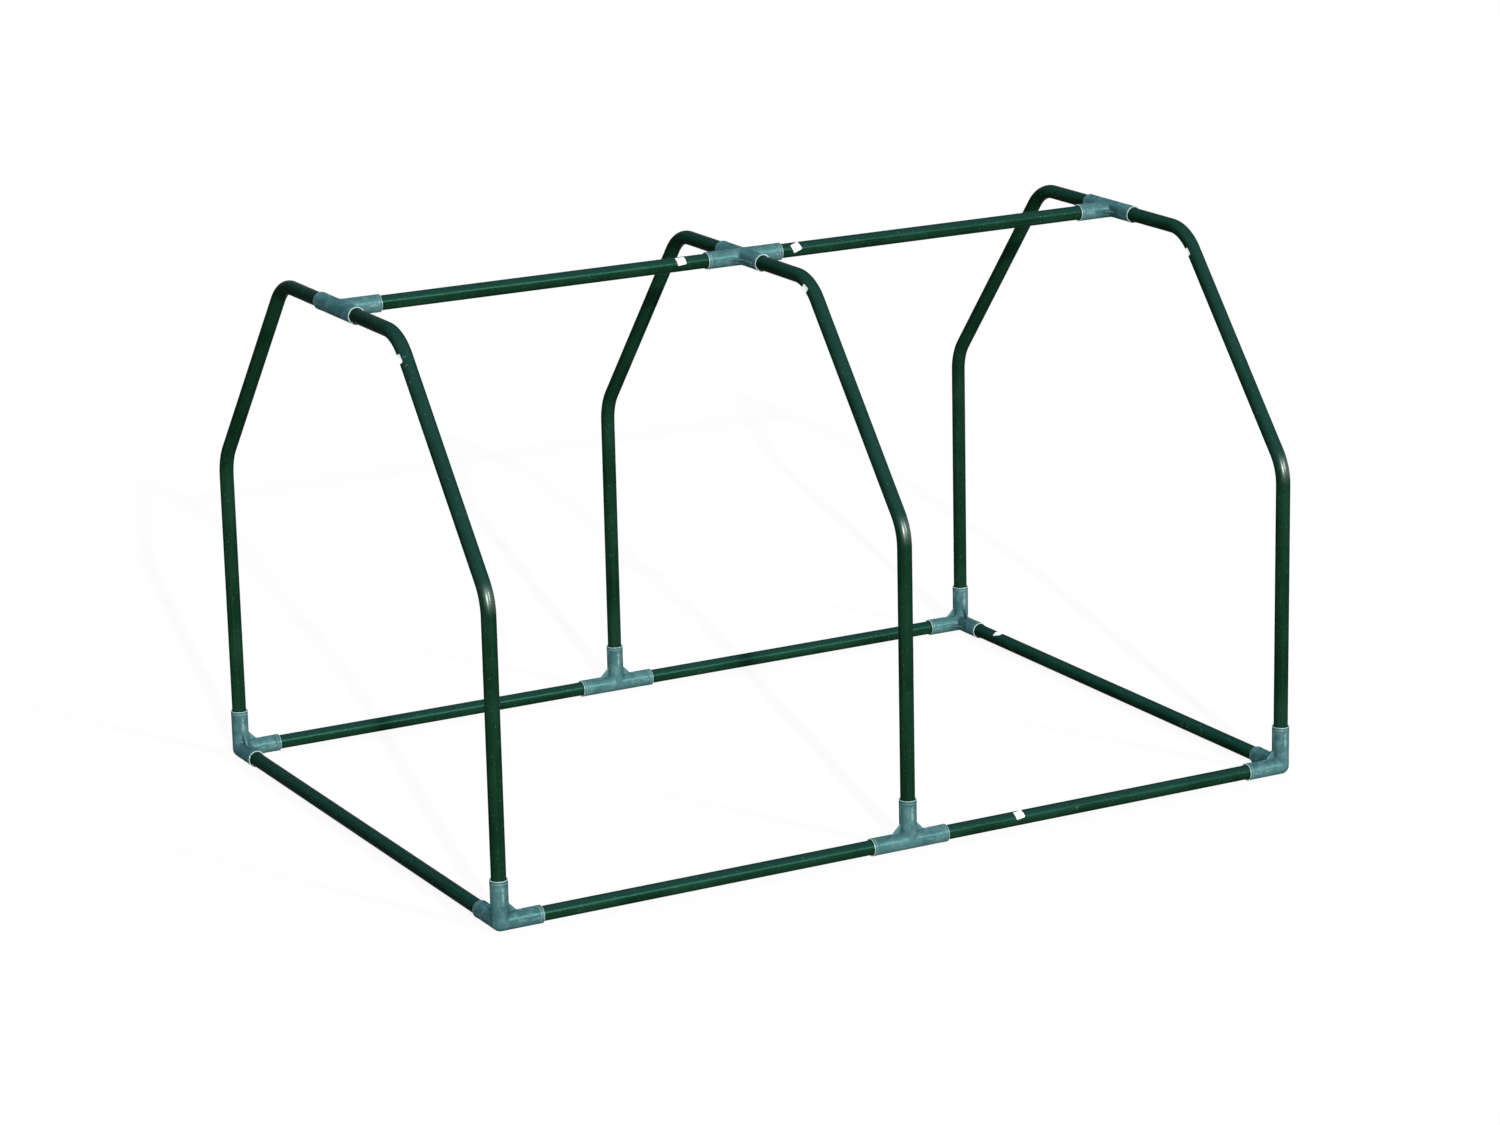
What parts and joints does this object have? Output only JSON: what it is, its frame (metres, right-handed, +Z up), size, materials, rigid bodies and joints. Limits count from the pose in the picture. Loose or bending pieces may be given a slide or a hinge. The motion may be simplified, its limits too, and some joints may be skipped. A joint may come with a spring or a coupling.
{
  "type": "mini greenhouse frame",
  "caption": "Mini greenhouse frame: bent steel tube hoops on a rectangular base with a ridge, pushed into moulded plastic corner, tee and cross connectors.",
  "frame": {"origin": "on the ground, under the middle of the frame", "axes": "+X along the ridge, +Y across the hoops, +Z up"},
  "size_m": [0.99, 0.71, 0.6],
  "materials": {
    "tube_enamel": "gloss dark green coating on steel tube",
    "connector_plastic": "satin grey-green moulded plastic"
  },
  "bodies": {
    "base_middle": {"front_middle_tee": "connector_plastic", "back_middle_tee": "connector_plastic", "front_left_base_tube": "tube_enamel", "front_right_base_tube": "tube_enamel", "back_left_base_tube": "tube_enamel", "back_right_base_tube": "tube_enamel"},
    "base_left_end": {"front_left_corner": "connector_plastic", "back_left_corner": "connector_plastic", "left_end_base_tube": "tube_enamel"},
    "base_right_end": {"front_right_corner": "connector_plastic", "back_right_corner": "connector_plastic", "right_end_base_tube": "tube_enamel"},
    "upper_middle": {"middle_front_hoop_tube": "tube_enamel", "middle_back_hoop_tube": "tube_enamel", "ridge_cross": "connector_plastic", "left_ridge_tube": "tube_enamel", "right_ridge_tube": "tube_enamel"},
    "upper_left_end": {"left_front_hoop_tube": "tube_enamel", "left_back_hoop_tube": "tube_enamel", "left_ridge_tee": "connector_plastic"},
    "upper_right_end": {"right_front_hoop_tube": "tube_enamel", "right_back_hoop_tube": "tube_enamel", "right_ridge_tee": "connector_plastic"}
  },
  "joints": [
    {"name": "upper_lift", "type": "slide", "parent": "base_middle", "child": "upper_middle", "axis": [0, 0, 1], "range_m": [0, 0.04]},
    {"name": "left_upper_pull", "type": "slide", "parent": "upper_middle", "child": "upper_left_end", "axis": [-1, 0, 0], "range_m": [0, 0.04]},
    {"name": "right_upper_pull", "type": "slide", "parent": "upper_middle", "child": "upper_right_end", "axis": [1, 0, 0], "range_m": [0, 0.04]},
    {"name": "left_base_pull", "type": "slide", "parent": "base_middle", "child": "base_left_end", "axis": [-1, 0, 0], "range_m": [0, 0.04]},
    {"name": "right_base_pull", "type": "slide", "parent": "base_middle", "child": "base_right_end", "axis": [1, 0, 0], "range_m": [0, 0.04]}
  ],
  "couplings": [
    {"joint": "left_base_pull", "follows": "left_upper_pull", "ratio": 1},
    {"joint": "right_base_pull", "follows": "right_upper_pull", "ratio": 1}
  ]
}
